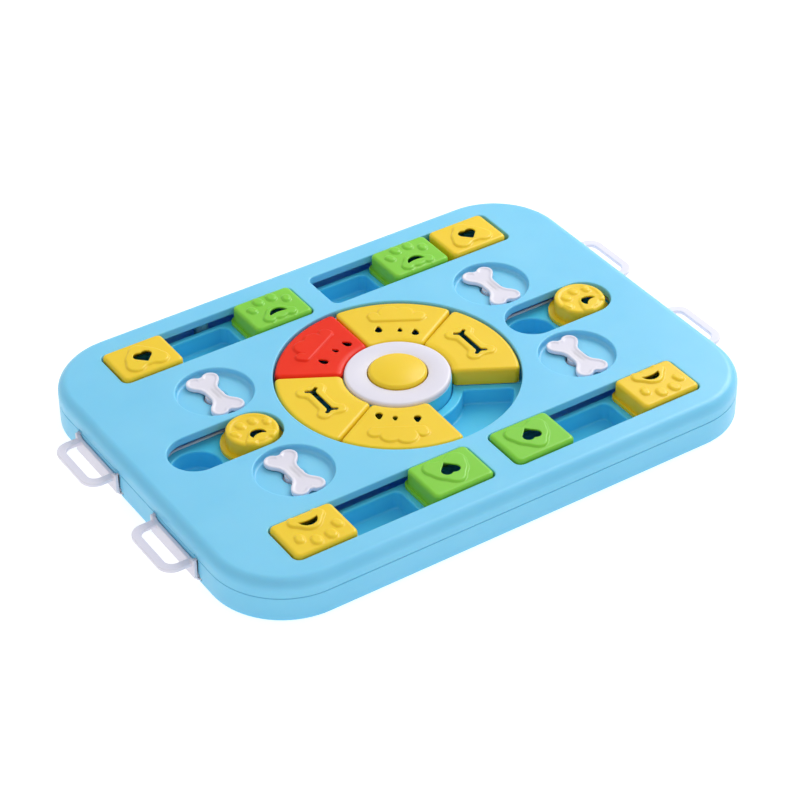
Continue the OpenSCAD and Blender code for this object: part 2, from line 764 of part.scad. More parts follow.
function foot_places() = [for (sx = [-1, 1], sy = [-1, 1])
    [sx * (board_length / 2 - corner_radius), sy * (board_width / 2 - corner_radius)]];

module case_screws() color(steel) for (p = post_places()) translate(p) {
    pin(head_r, head_top_z - screw_r, head_top_z);
    pin(screw_r, head_top_z - eps, floor_z + screw_bite);
}

module rubber_feet() color(soot) for (p = foot_places()) translate(p) pin(foot_r, 0, foot_seat_z);

top_cover();
base_rim();
bottom_plate();
back_left_tray();
back_right_tray();
front_left_tray();
front_right_tray();
left_round_tray();
right_round_tray();
wheel_tray_right();
wheel_tray_back_right();
wheel_tray_back_left();
wheel_tray_left();
wheel_tray_front_left();
wheel_tray_front_right();
squeaker_cup();
left_guide_ring();
right_guide_ring();
hub_ring();
push_button();
squeaker_bellows();
squeaker_reed();
back_left_yellow_block();
back_left_green_block();
back_right_green_block();
back_right_yellow_block();
front_left_yellow_block();
front_left_green_block();
front_right_green_block();
front_right_yellow_block();
left_round_slider();
right_round_slider();
wheel_lid_red();
wheel_lid_back();
wheel_lid_right();
wheel_lid_left();
wheel_lid_front();
bone_back_left();
bone_back_right();
bone_front_left();
bone_front_right();
bone_washer_back_left();
bone_washer_back_right();
bone_washer_front_left();
bone_washer_front_right();
bone_screw_back_left();
bone_screw_back_right();
bone_screw_front_left();
bone_screw_front_right();
clip_left_back();
clip_left_front();
clip_right_back();
clip_right_front();
clip_pins();
case_screws();
rubber_feet();
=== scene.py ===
# %% [markdown]
# # A sliding treat board, dressed for its portrait
# The CAD model holds every size and every joint of the toy. This lesson gives it the soft
# edges, the moulded skins and the light of a studio picture, one kind of piece at a time.
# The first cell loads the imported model, and everything later is fitted to it.

# %% Load the frame
import json
import math

import bmesh
import bpy
from mathutils import Matrix, Vector


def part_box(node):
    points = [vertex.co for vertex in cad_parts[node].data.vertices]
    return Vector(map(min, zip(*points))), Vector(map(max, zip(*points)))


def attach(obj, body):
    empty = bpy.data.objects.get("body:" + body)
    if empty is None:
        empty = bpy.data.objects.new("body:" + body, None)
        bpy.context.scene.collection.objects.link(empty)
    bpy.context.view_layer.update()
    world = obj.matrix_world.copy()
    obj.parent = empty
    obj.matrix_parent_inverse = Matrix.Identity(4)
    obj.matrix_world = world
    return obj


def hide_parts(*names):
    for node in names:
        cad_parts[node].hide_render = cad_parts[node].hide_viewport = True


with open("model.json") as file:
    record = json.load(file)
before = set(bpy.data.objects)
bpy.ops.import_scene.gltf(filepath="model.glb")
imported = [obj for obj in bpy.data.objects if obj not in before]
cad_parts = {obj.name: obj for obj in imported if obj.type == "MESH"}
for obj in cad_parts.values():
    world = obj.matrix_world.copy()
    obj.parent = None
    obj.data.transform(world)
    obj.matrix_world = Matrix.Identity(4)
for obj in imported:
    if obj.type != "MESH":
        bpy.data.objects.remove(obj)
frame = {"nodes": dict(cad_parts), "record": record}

MM = 0.001
nodes = frame["nodes"]
body_of_node = {n: body for body, members in frame["record"]["behaviour"]["bodies"].items()
                for n in members}
slot_of_node = {s["node"]: s["material_slot"] for s in frame["record"]["subparts"]}
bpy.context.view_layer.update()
top_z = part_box("top_cover")[1].z
print(f"{len(nodes)} nodes, top face at {top_z / MM:.1f} mm")

# %% [markdown]
# ## The camera
# The picture was taken from the front left with a long lens, so the far edge is hardly
# smaller than the near one. An angle round the object, an angle above the floor and a
# small roll place the camera more surely than three typed coordinates would.

# %% Camera
azimuth, elevation, roll = (math.radians(a) for a in (-32.941, 37.042, -0.82))
target = Vector((-13.5, -23.0, 26.6)) * MM
distance = 1.4148
back = Vector((math.sin(azimuth) * math.cos(elevation),
               -math.cos(azimuth) * math.cos(elevation),
               math.sin(elevation)))
right = Vector((math.cos(azimuth), math.sin(azimuth), 0))
up = back.cross(right)
turned_right = right * math.cos(roll) + up * math.sin(roll)
turned_up = up * math.cos(roll) - right * math.sin(roll)
camera_data = bpy.data.cameras.new("camera")
camera_data.lens, camera_data.sensor_width = 113.46, 36
camera_data.sensor_fit = "HORIZONTAL"
camera_data.clip_start, camera_data.clip_end = 0.05, 20
camera = bpy.data.objects.new("camera", camera_data)
bpy.context.scene.collection.objects.link(camera)
camera.matrix_world = Matrix((turned_right, turned_up, back)).transposed().to_4x4()
camera.location = target + back * distance
bpy.context.scene.camera = camera
print("camera at", tuple(round(c, 3) for c in camera.location))

# %% [markdown]
# ## Small helpers for node trees
# Every material is wired from the same few steps: add a node, set its inputs by name,
# make a noise, and stretch a value from one range to another. The `place` of a node only
# says where it lies in the editor.

# %% Helpers for node trees
def add_node(tree, kind, place=(0, 0), **settings):
    node = tree.nodes.new("ShaderNode" + kind)
    node.location = place
    for key, value in settings.items():
        setattr(node, key, value)
    return node


def set_inputs(node, **values):
    for key, value in values.items():
        node.inputs[key.replace("_", " ")].default_value = value
    return node


def noise(tree, vector, scale, detail, place):
    made = set_inputs(add_node(tree, "TexNoise", place), Scale=scale, Detail=detail)
    tree.links.new(vector, made.inputs["Vector"])
    return made.outputs["Fac"]


def remap(tree, value, low, high, to_low, to_high, place):
    made = add_node(tree, "MapRange", place)
    set_inputs(made, From_Min=low, From_Max=high, To_Min=to_low, To_Max=to_high)
    tree.links.new(value, made.inputs["Value"])
    return made.outputs["Result"]


def math_node(tree, operation, first, second, place):
    made = add_node(tree, "Math", place, operation=operation)
    for socket, value in zip(made.inputs, (first, second)):
        if isinstance(value, (int, float)):
            socket.default_value = value
        else:
            tree.links.new(value, socket)
    return made.outputs[0]


print("node helpers ready")

# %% [markdown]
# ## The moulded skin
# All the hard parts are injection-moulded plastic. Close up such a skin isn't one colour:
# the melt flowed in faint clouds, the steel of the mould left a fine grain, and use rubs
# small shiny patches into it. One node group makes these effects for every colour, and
# each material gives it its own two shades, so the plastics look like one family.

# %% Node group for moulded plastic
def group_socket(group, name, in_out, kind, value=None, low=None, high=None):
    socket = group.interface.new_socket(name=name, in_out=in_out, socket_type="NodeSocket" + kind)
    if value is not None:
        socket.default_value = value
    if low is not None:
        socket.min_value, socket.max_value = low, high


skin = bpy.data.node_groups.new("moulded_skin", "ShaderNodeTree")
group_socket(skin, "Position", "INPUT", "Vector")
group_socket(skin, "Colour", "INPUT", "Color", (0.5, 0.5, 0.5, 1))
group_socket(skin, "Deep colour", "INPUT", "Color", (0.4, 0.4, 0.4, 1))
group_socket(skin, "Gloss low", "INPUT", "Float", 0.3, 0, 1)
group_socket(skin, "Gloss high", "INPUT", "Float", 0.45, 0, 1)
group_socket(skin, "Colour", "OUTPUT", "Color")
group_socket(skin, "Roughness", "OUTPUT", "Float")
group_socket(skin, "Height", "OUTPUT", "Float")
entry = skin.nodes.new("NodeGroupInput")
leave = skin.nodes.new("NodeGroupOutput")
position = entry.outputs["Position"]
clouds = noise(skin, position, scale=22, detail=3, place=(-700, 200))
grain = noise(skin, position, scale=1500, detail=2, place=(-700, -60))
rub = noise(skin, position, scale=130, detail=5, place=(-700, -300))
flow = remap(skin, clouds, low=0.35, high=0.7, to_low=0, to_high=1, place=(-480, 200))
blend = add_node(skin, "Mix", (-260, 200), data_type="RGBA")
skin.links.new(flow, blend.inputs["Factor"])
skin.links.new(entry.outputs["Colour"], blend.inputs["A"])
skin.links.new(entry.outputs["Deep colour"], blend.inputs["B"])
skin.links.new(blend.outputs["Result"], leave.inputs["Colour"])
wear = remap(skin, rub, low=0.3, high=0.72, to_low=0, to_high=1, place=(-480, -300))
gloss = add_node(skin, "Mix", (-260, -200), data_type="FLOAT")
skin.links.new(wear, gloss.inputs["Factor"])
skin.links.new(entry.outputs["Gloss low"], gloss.inputs["A"])
skin.links.new(entry.outputs["Gloss high"], gloss.inputs["B"])
skin.links.new(gloss.outputs["Result"], leave.inputs["Roughness"])
fine = math_node(skin, "MULTIPLY", grain, 0.5, (-480, -60))
skin.links.new(math_node(skin, "ADD", fine, rub, (-260, -60)), leave.inputs["Height"])
print("group", skin.name, "with", len(skin.nodes), "nodes")

# %% [markdown]
# ## The plastics
# Each colour of plastic is one material. The roughness keeps the plastics satin rather
# than glassy, as in the picture, and a very weak bump lets the highlights break up.
# Real plastic lets a little light of its own colour pass under the skin, so its shaded
# walls look deeper, not greyer. Subsurface scattering gives that.

# %% Plastic materials
SATIN_LOW, SATIN_HIGH = 0.3, 0.42
SKIN_RELIEF = 0.02 * MM
LIGHT_REACH = 5 * MM


def srgb(red, green, blue):
    def channel(value):
        value /= 255
        return value / 12.92 if value <= 0.04045 else ((value + 0.055) / 1.055) ** 2.4
    return (channel(red), channel(green), channel(blue), 1)


def new_material(name):
    material = bpy.data.materials.new(name)
    material.use_nodes = True
    tree = material.node_tree
    tree.nodes.clear()
    shader = add_node(tree, "BsdfPrincipled", (0, 0))
    out = add_node(tree, "OutputMaterial", (300, 0))
    tree.links.new(shader.outputs["BSDF"], out.inputs["Surface"])
    return material, tree, shader


def add_bump(tree, height, shader, strength, distance):
    bump = add_node(tree, "Bump", (-300, -250))
    set_inputs(bump, Strength=strength, Distance=distance)
    tree.links.new(height, bump.inputs["Height"])
    tree.links.new(bump.outputs["Normal"], shader.inputs["Normal"])


def plastic(name, colour, deep, shine=0.38):
    material, tree, shader = new_material(name)
    place = add_node(tree, "TexCoord", (-900, 0))
    made = add_node(tree, "Group", (-600, 0), node_tree=skin)
    set_inputs(made, Colour=srgb(*colour), Deep_colour=srgb(*deep),
               Gloss_low=SATIN_LOW, Gloss_high=SATIN_HIGH)
    tree.links.new(place.outputs["Object"], made.inputs["Position"])
    tree.links.new(made.outputs["Colour"], shader.inputs["Base Color"])
    tree.links.new(made.outputs["Roughness"], shader.inputs["Roughness"])
    add_bump(tree, made.outputs["Height"], shader, strength=0.5, distance=SKIN_RELIEF)
    set_inputs(shader, IOR=1.5, Specular_IOR_Level=shine, Subsurface_Weight=0.35,
               Subsurface_Scale=LIGHT_REACH, Subsurface_Radius=srgb(*colour)[:3])
    return material


finishes = {
    "sky_plastic": plastic("sky_blue_plastic", (126, 206, 242), (119, 202, 240)),
    "tray_plastic": plastic("tray_blue_plastic", (84, 205, 248), (76, 201, 246)),
    "white_plastic": plastic("white_plastic", (226, 223, 235), (220, 218, 231)),
    "yellow_plastic": plastic("yellow_plastic", (240, 205, 40), (236, 200, 33)),
    "green_plastic": plastic("green_plastic", (132, 207, 62), (125, 202, 55)),
    "red_plastic": plastic("red_plastic", (236, 44, 8), (230, 39, 6), shine=0.2),
}
print(len(finishes), "plastics")

# %% [markdown]
# ## Steel and rubber
# The screws and pins are zinc-plated steel with a brushed look, and the feet and the
# squeaker are rubber: matte, with a fine tooth that a bump gives.

# %% Steel and rubber materials
def two_tone(tree, factor, shader, colour, deep):
    mix = add_node(tree, "Mix", (-300, 150), data_type="RGBA")
    mix.inputs["A"].default_value = srgb(*colour)
    mix.inputs["B"].default_value = srgb(*deep)
    tree.links.new(factor, mix.inputs["Factor"])
    tree.links.new(mix.outputs["Result"], shader.inputs["Base Color"])


def steel_material(name):
    material, tree, shader = new_material(name)
    place = add_node(tree, "TexCoord", (-900, 0))
    streaks = noise(tree, place.outputs["Object"], scale=900, detail=3, place=(-650, 100))
    two_tone(tree, streaks, shader, (196, 200, 205), (168, 172, 178))
    rough = remap(tree, streaks, low=0.3, high=0.7, to_low=0.25, to_high=0.42, place=(-300, -100))
    tree.links.new(rough, shader.inputs["Roughness"])
    set_inputs(shader, Metallic=1.0)
    return material


def rubber_material(name, colour, deep):
    material, tree, shader = new_material(name)
    place = add_node(tree, "TexCoord", (-900, 0))
    tooth = noise(tree, place.outputs["Object"], scale=2200, detail=4, place=(-650, 0))
    two_tone(tree, tooth, shader, colour, deep)
    rough = remap(tree, tooth, low=0.3, high=0.7, to_low=0.7, to_high=0.85, place=(-300, -50))
    tree.links.new(rough, shader.inputs["Roughness"])
    add_bump(tree, tooth, shader, strength=0.6, distance=0.1 * MM)
    return material


finishes["steel"] = steel_material("zinc_steel")
finishes["foot_rubber"] = rubber_material("foot_rubber", (62, 65, 68), (46, 48, 52))
finishes["soft_rubber"] = rubber_material("squeaker_rubber", (226, 229, 236), (210, 214, 222))
print(sorted(finishes))

# %% [markdown]
# ## CAD pieces that stay
# A part whose shape is already right only needs its finish. The small hidden hardware
# stays as it is: screws, washers, pins and the squeaker.

# %% Give every CAD node its finish
for name, piece in nodes.items():
    piece.data.materials.clear()
    piece.data.materials.append(finishes[slot_of_node[name]])
print("finishes on", len(nodes), "nodes")

# %% [markdown]
# ## Soft edges
# A mould never gives a knife edge. CAD solids have them, so each part that shows is
# copied, its loose triangles are merged into clean faces, and its sharp edges are rounded
# with a small bevel. The bevel catches the light and makes the plastic look moulded.
# Weighted normals then keep the broad faces flat between the rounded edges.

# %% Helpers that finish a piece and round a part's edges
SHADED_AS_SHARP = math.radians(34)
ROUNDED_ABOVE = math.radians(38)
TOUCHING = 0.004 * MM
SAME_PLANE = math.radians(0.4)
SAME_HEIGHT = 0.05 * MM


def finish_piece(name, bm, stands_for):
    mesh = bpy.data.meshes.new(name)
    bm.normal_update()
    for face in bm.faces:
        face.smooth = True
    for edge in bm.edges:
        joins_two = len(edge.link_faces) == 2
        edge.smooth = not (joins_two and edge.calc_face_angle(0) > SHADED_AS_SHARP)
    bm.to_mesh(mesh)
    bm.free()
    piece = bpy.data.objects.new(name, mesh)
    bpy.context.scene.collection.objects.link(piece)
    mesh.materials.append(finishes[slot_of_node[stands_for]])
    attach(piece, body_of_node[stands_for])
    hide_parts(stands_for)
    return piece


def merged_copy(node):
    bm = bmesh.new()
    bm.from_mesh(nodes[node].data)
    bmesh.ops.remove_doubles(bm, verts=bm.verts, dist=TOUCHING)
    bmesh.ops.dissolve_limit(bm, angle_limit=SAME_PLANE, verts=bm.verts, edges=bm.edges,
                             use_dissolve_boundaries=False, delimit=set())
    return bm


def round_edges(bm, width, steps=3, keep=None):
    edges = [e for e in bm.edges if len(e.link_faces) == 2 and (keep is None or keep(e))
             and e.calc_face_angle(0) > ROUNDED_ABOVE]
    if edges:
        bmesh.ops.bevel(bm, geom=edges, offset=width, offset_type="OFFSET", affect="EDGES",
                        segments=steps, profile=0.5, material=-1, clamp_overlap=False)


def rounded_part(node, *roundings, reshape=None):
    bm = merged_copy(node)
    if reshape:
        reshape(bm)
    for rounding in roundings:
        round_edges(bm, **rounding)
    piece = finish_piece(node + "_rounded", bm, node)
    piece.modifiers.new("flat faces", "WEIGHTED_NORMAL").keep_sharp = True
    return piece


def at_height(z):
    return lambda edge: all(abs(v.co.z - z) < SAME_HEIGHT for v in edge.verts)


fine_rounding = dict(width=0.3 * MM)
print("edges that fold more than", round(math.degrees(ROUNDED_ABOVE)), "degrees are rounded")

# %% [markdown]
# ## The cover and the base
# The edges round the openings are the ones a dog's nose meets, so they are rounder than
# the edges underneath. The bone recesses run into their floor with a wide hollow curve.
# The rim's frame-shaped faces are cut into triangles first, because a face with a hole in
# it fills in when its edges are rounded. The flat plate underneath keeps its CAD shape.

# %% Cover and base
def narrow_wheel_opening(bm, drawn=72.0 * MM, moulded=71.1 * MM, close=0.25 * MM):
    for vert in bm.verts:
        radius = vert.co.xy.length
        if abs(radius - drawn) < close:
            vert.co.x *= moulded / radius
            vert.co.y *= moulded / radius


def cut_to_triangles(bm):
    bmesh.ops.triangulate(bm, faces=bm.faces)


# The lowest points of a bone, not counting its boss, float just above the recess's floor
boss_limit = top_z - 4.1 * MM
bone_points = (v.co.z for v in nodes["bone_back_left"].data.vertices)
recess_floor_z = min(z for z in bone_points if z > boss_limit) - 0.35 * MM
cover = rounded_part("top_cover", dict(width=0.8 * MM, steps=4, keep=at_height(top_z)),
                     dict(width=1.7 * MM, steps=5, keep=at_height(recess_floor_z)),
                     fine_rounding, reshape=narrow_wheel_opening)
base_rim = rounded_part("base_rim", fine_rounding, reshape=cut_to_triangles)
print("cover", len(cover.data.polygons), "faces; rim", len(base_rim.data.polygons), "faces")

# %% [markdown]
# ## Trays, guide rings and button
# The wells are thin-walled cups. Their rims are soft and their floors run up into the
# walls in a hollow curve, which a second bevel gives. The guide rings and the button only
# need their few sharp edges rounded. The button is drawn in a little under its dome.

# %% Trays, guide rings and button
WELL_FLOOR = 1.5 * MM


def upright(edge, straight=0.05 * MM, tall=5 * MM):
    first, second = (v.co for v in edge.verts)
    return (first - second).xy.length < straight and abs(first.z - second.z) > tall


def slim_button(bm, slimmer=0.967, lower=0.4 * MM):
    bmesh.ops.scale(bm, vec=(slimmer, slimmer, 1), verts=bm.verts)
    dome = [v for v in bm.verts if v.co.z > top_z]
    bmesh.ops.translate(bm, vec=(0, 0, -lower), verts=dome)


trays = [name for name in nodes if name.endswith("_tray") or name.startswith("wheel_tray")]
for name in trays:
    tray_low, tray_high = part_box(name)
    corners = dict(width=2.6 * MM, steps=5, keep=upright)
    brim = dict(width=1.1 * MM, steps=4, keep=at_height(tray_high.z))
    hollow = dict(width=1.4 * MM, steps=4, keep=at_height(tray_low.z + WELL_FLOOR))
    roundings = (brim, hollow, fine_rounding)
    if name.startswith("wheel"):
        roundings = (corners,) + roundings
    rounded_part(name, *roundings)
for name in ("squeaker_cup", "left_guide_ring", "right_guide_ring"):
    rounded_part(name, fine_rounding)
rounded_part("push_button", fine_rounding, reshape=slim_button)
print(len(trays), "trays, squeaker cup, guide rings and button done")

# %% [markdown]
# ## The hub ring
# The white ring is a turned shape with a skirt that hangs over the cup of the squeaker.
# Its section is drawn as a short chain of points, which is spun once round the wheel's
# axis, and its edges are then rounded.

# %% Hub ring
RING_BORE, RING_OUT = 17.6 * MM, 30.7 * MM
RING_SKIRT, RING_WALL = 3.2 * MM, 0.9 * MM
ring_low, ring_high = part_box("hub_ring")
near_top = ring_high.z - 0.1 * MM
skirt_z = ring_low.z - RING_SKIRT
ring_section = ((RING_BORE, ring_low.z), (RING_BORE, ring_high.z), (RING_OUT, ring_high.z),
                (RING_OUT, skirt_z), (RING_OUT - RING_WALL, skirt_z))


def outer_top(edge):
    return all(v.co.z > near_top and v.co.xy.length > 25 * MM for v in edge.verts)


bm = bmesh.new()
chain = [bm.verts.new((radius, 0, z)) for radius, z in ring_section]
for first, second in zip(chain, chain[1:]):
    bm.edges.new((first, second))
bmesh.ops.spin(bm, geom=bm.verts[:] + bm.edges[:], cent=(0, 0, 0), axis=(0, 0, 1),
               angle=math.tau, steps=128, use_merge=True)
bmesh.ops.recalc_face_normals(bm, faces=bm.faces)
if sum(f.normal.z for f in bm.faces if f.calc_center_median().z > near_top) < 0:
    bmesh.ops.reverse_faces(bm, faces=bm.faces)
round_edges(bm, 1.8 * MM, 6, keep=outer_top)
round_edges(bm, 0.35 * MM, 2, keep=at_height(ring_high.z))
hub_ring = finish_piece("hub_ring_turned", bm, "hub_ring")
print("hub ring", len(hub_ring.data.polygons), "faces")

# %% [markdown]
# ## Flat shapes as distances
# The raised paws and the pierced hearts are easiest to describe by a distance: how far is
# a point from the outline, with a minus sign inside. Discs and rods join into any of these
# shapes, and where two distances are blended instead of just compared, the joint between
# them flows, as it does on the moulded toy. All these lengths are in millimetres: a disc is
# its middle and radius, a rod its two ends and radius.

# %% Distances to flat shapes
PROBE = 0.01


def disc(x0, y0, radius):
    return lambda x, y: math.hypot(x - x0, y - y0) - radius


def rod(ax, ay, bx, by, radius):
    dx, dy = bx - ax, by - ay

    def away(x, y):
        t = max(0, min(1, ((x - ax) * dx + (y - ay) * dy) / (dx * dx + dy * dy)))
        return math.hypot(x - ax - t * dx, y - ay - t * dy) - radius
    return away


def plate_outline(half_x, half_y, corner):
    def away(x, y):
        qx, qy = abs(x) - half_x + corner, abs(y) - half_y + corner
        return math.hypot(max(qx, 0), max(qy, 0)) + min(max(qx, qy), 0) - corner
    return away


def joined(flow, *shapes):
    def away(x, y):
        nearest = shapes[0](x, y)
        for shape in shapes[1:]:
            other = shape(x, y)
            near = max(flow - abs(nearest - other), 0)
            nearest = min(nearest, other) - near * near / (4 * flow)
        return nearest
    return away


def outside(shape):
    return lambda x, y: -shape(x, y)


def common(flow, *shapes):
    return outside(joined(flow, *(outside(shape) for shape in shapes)))


def placed(shape, turn=0, scale=1, y0=0):
    c, s = math.cos(math.radians(turn)), math.sin(math.radians(turn))
    return lambda x, y: scale * shape((x * c + (y - y0) * s) / scale,
                                      ((y - y0) * c - x * s) / scale)


def across(shape, x0, y0):
    return lambda x, y: shape(x - x0, y - y0)


def flipped(shape):
    return lambda x, y: shape(-x, y)


def mirrored(flow, *shapes):
    return joined(flow, *shapes, *(flipped(shape) for shape in shapes))


def slope(shape, x, y):
    gx = shape(x + PROBE, y) - shape(x - PROBE, y)
    gy = shape(x, y + PROBE) - shape(x, y - PROBE)
    size = math.hypot(gx, gy) or 1
    return gx / size, gy / size


print("distance of (3, 4) from a disc of radius 2:", disc(0, 0, 2)(3, 4))

# %% [markdown]
# ## Reliefs and walls
# A relief is a height over the plane: a swell rises from a shape's outline and levels off
# inside it. Walls grow from a border. Each step extrudes the border and moves the new
# points down, or out along the slope of the distance, so the wall follows the outline.

# %% Helpers for reliefs and walls
def swell(shape, rise, width):
    def height(x, y):
        t = min(max(-shape(x, y) / width, 0), 1)
        return rise * (1 - (1 - t) ** 2)
    return height


def relief(*heights):
    return lambda x, y: sum(height(x, y) for height in heights)


def extruded(bm, edges, move):
    made = bmesh.ops.extrude_edge_only(bm, edges=edges)["geom"]
    verts = {g for g in made if isinstance(g, bmesh.types.BMVert)}
    for vert in verts:
        move(vert)
    return [g for g in made
            if isinstance(g, bmesh.types.BMEdge) and all(v in verts for v in g.verts)]


def outwards(shape, out, down=0):
    def move(vert):
        gx, gy = slope(shape, vert.co.x, vert.co.y)
        vert.co += Vector((gx * out, gy * out, -down))
    return move


def lowered(depth):
    def move(vert):
        vert.co.z -= depth
    return move


def roll_over(bm, edges, shape, way, radius, steps):
    for step in range(steps):
        a, b = (math.pi / 2 * k / steps for k in (step, step + 1))
        out = way * radius * (math.sin(b) - math.sin(a))
        down = radius * (math.cos(a) - math.cos(b))
        edges = extruded(bm, edges, outwards(shape, out, down))
    return edges


print("a swell of 1 mm is", swell(disc(0, 0, 5), 1.0, 2.0)(4, 0), "mm high 1 mm from its edge")

# %% [markdown]
# ## A cap with a relief
# Blocks, sliders, lids and bones are all caps: a top that carries a soft relief, a rounded
# edge and walls that go straight down. A fine grid is trimmed to the outline, its border
# is moved onto it, and every point is lifted by the relief. The border is then rolled
# over the edge and down the wall, and the borders of the holes are rolled inwards.

# %% Helpers that make and place a cap
GRID = 0.42
TRIM_FLOW = 0.02
EDGE_STEPS = 5
HOLE_EDGE, HOLE_STEPS = 0.3, 3
HOLE_WALL = 0.7
SETTLE_ROUNDS = 4


def trimmed_grid(keep, span):
    bm = bmesh.new()
    (x0, x1), (y0, y1) = span
    bmesh.ops.create_grid(bm, x_segments=round((x1 - x0) / GRID),
                          y_segments=round((y1 - y0) / GRID), size=1)
    bmesh.ops.scale(bm, vec=((x1 - x0) / 2, (y1 - y0) / 2, 1), verts=bm.verts)
    bmesh.ops.translate(bm, vec=((x0 + x1) / 2, (y0 + y1) / 2, 0), verts=bm.verts)
    spare = [f for f in bm.faces if keep(*f.calc_center_median().xy) > 0]
    bmesh.ops.delete(bm, geom=spare, context="FACES")
    border = [e for e in bm.edges if e.is_boundary]
    for vert in {v for e in border for v in e.verts}:
        for _ in range(SETTLE_ROUNDS):
            gx, gy = slope(keep, vert.co.x, vert.co.y)
            gap = keep(vert.co.x, vert.co.y)
            vert.co -= Vector((gx * gap, gy * gap, 0))
    return bm, border


def cap(outline, holes, height, span, edge, foot, flange=None):
    keep = common(TRIM_FLOW, lambda x, y: outline(x, y) + edge,
                  lambda x, y: HOLE_EDGE - holes(x, y))
    bm, border = trimmed_grid(keep, span)
    for vert in bm.verts:
        vert.co.z = height(vert.co.x, vert.co.y)
    hole_edges = [e for e in border if holes(*e.verts[0].co.xy) < 2 * HOLE_EDGE]
    in_holes = set(hole_edges)
    outer_edges = [e for e in border if e not in in_holes]

    def to_foot(vert):
        vert.co.z = foot
    shoulder = roll_over(bm, outer_edges, outline, 1, edge, EDGE_STEPS)
    wall = extruded(bm, shoulder, to_foot)
    if flange:
        wide, thick = flange
        extruded(bm, extruded(bm, wall, outwards(outline, wide)), lowered(thick))
    if hole_edges:
        lip = roll_over(bm, hole_edges, holes, -1, HOLE_EDGE, HOLE_STEPS)
        extruded(bm, lip, lowered(HOLE_WALL))
    bmesh.ops.recalc_face_normals(bm, faces=bm.faces)
    if sum(f.normal.z * f.calc_area() for f in bm.faces) < 0:
        bmesh.ops.reverse_faces(bm, faces=bm.faces)
    return bm


def middle(node):
    low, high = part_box(node)
    return (low.x + high.x) / 2, (low.y + high.y) / 2


def put_cap(node, bm, place, z, turn=0):
    bm.transform(Matrix.Translation((*place, z)) @ Matrix.Rotation(math.radians(turn), 4, "Z")
                 @ Matrix.Scale(MM, 4))
    return finish_piece(node + "_soft", bm, node)


print("caps are made on a grid of", GRID, "mm")

# %% [markdown]
# ## Paws and hearts
# Two motifs make all the blocks: a paw whose pad is pierced by a crescent, and a broad pad
# pierced by a heart. They are drawn once for a block at the back, and the front row
# shows them turned round.

# %% Motifs of the blocks
RELIEF = 1.15
PAD_RAMP, TOE_RAMP = 1.4, 1.9
paw_pad = mirrored(1.6, disc(0, -5.8, 6.6), rod(7.2, -9.0, 3.5, -5.8, 4.1))
paw_toes = mirrored(0.2, rod(4.4, 8.4, 4.6, 9.8, 3.5), rod(11.4, 2.6, 12.0, 4.6, 3.0))
paw_hole = common(0.3, disc(0, -8.2, 5.77), outside(disc(0, -23.4, 16.7)))
paw_relief = relief(swell(paw_pad, RELIEF, PAD_RAMP), swell(paw_toes, RELIEF, TOE_RAMP))
heart_pad = mirrored(2.4, disc(0, 6.0, 5.0), disc(0, -0.4, 8.8), disc(4.6, -1.4, 6.8),
                     disc(7.6, -6.2, 5.9))
heart_box = placed(plate_outline(3.2, 3.2, 0.3), turn=45)
heart = joined(0.3, heart_box, disc(-2.26, 2.26, 3.2), disc(2.26, 2.26, 3.2))
heart_hole = placed(heart, scale=1.05, y0=-2)
heart_relief = swell(heart_pad, RELIEF, PAD_RAMP)
print("paw pad is", round(-paw_pad(0, -6.4), 1), "mm deep in its middle")

# %% [markdown]
# ## The sliding blocks
# A block is a cap with a foot flange, which the lips of the slot hold down. Its size comes
# from the CAD part's own box, and only the relief is new. On the front row the paws sit a
# little off their block's middle, as in the picture.

# %% Sliding blocks
FOOT_THICK = 2.2
BLOCK_FOOT, BLOCK_CORNER, BLOCK_EDGE = 1.7, 3.4, 2.0
FRONT_PAW_SHIFT, FRONT_HOLE_SHIFT = (-1.1, -0.3), (-0.9, 0)
motif_of_block = {"back_left_yellow_block": "heart", "back_left_green_block": "paw",
                  "back_right_green_block": "paw", "back_right_yellow_block": "heart",
                  "front_left_yellow_block": "paw", "front_left_green_block": "heart",
                  "front_right_green_block": "heart", "front_right_yellow_block": "paw"}
for name, motif in motif_of_block.items():
    low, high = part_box(name)
    in_front = name.startswith("front")
    half_x, half_y = ((high[i] - low[i]) / MM / 2 - BLOCK_FOOT for i in (0, 1))
    block_top = high.z - RELIEF * MM
    shape, hole = (heart_relief, heart_hole) if motif == "heart" else (paw_relief, paw_hole)
    if in_front and motif == "paw":
        shape, hole = across(shape, *FRONT_PAW_SHIFT), across(hole, *FRONT_HOLE_SHIFT)
    foot = (low.z - block_top) / MM + FOOT_THICK
    bm = cap(plate_outline(half_x, half_y, BLOCK_CORNER), hole, shape,
             ((-half_x, half_x), (-half_y, half_y)), BLOCK_EDGE, foot, (BLOCK_FOOT, FOOT_THICK))
    put_cap(name, bm, middle(name), block_top, 180 if in_front else 0)
print(len(motif_of_block), "blocks")

# %% [markdown]
# ## The round sliders
# The same paw, a little smaller, sits on a round cap with a dished top. Each slider is
# turned by its own angle, because a round piece may turn in its slot.

# %% Round sliders
SLIDER_R, SLIDER_EDGE, SLIDER_FOOT = 15, 1.6, 3.3
DISH_R, DISH_RAMP, DISH_DEPTH = 12.6, 1.2, 0.35
SMALL_PAW = 0.88
slider_turns = {"left_round_slider": 2, "right_round_slider": 24}
slider_cut = common(0.5, disc(0, -6.2, 4.7), outside(disc(0, -12.4, 6.0)))


def dish(x, y):
    return -DISH_DEPTH * min(max((DISH_R - math.hypot(x, y)) / DISH_RAMP, 0), 1)


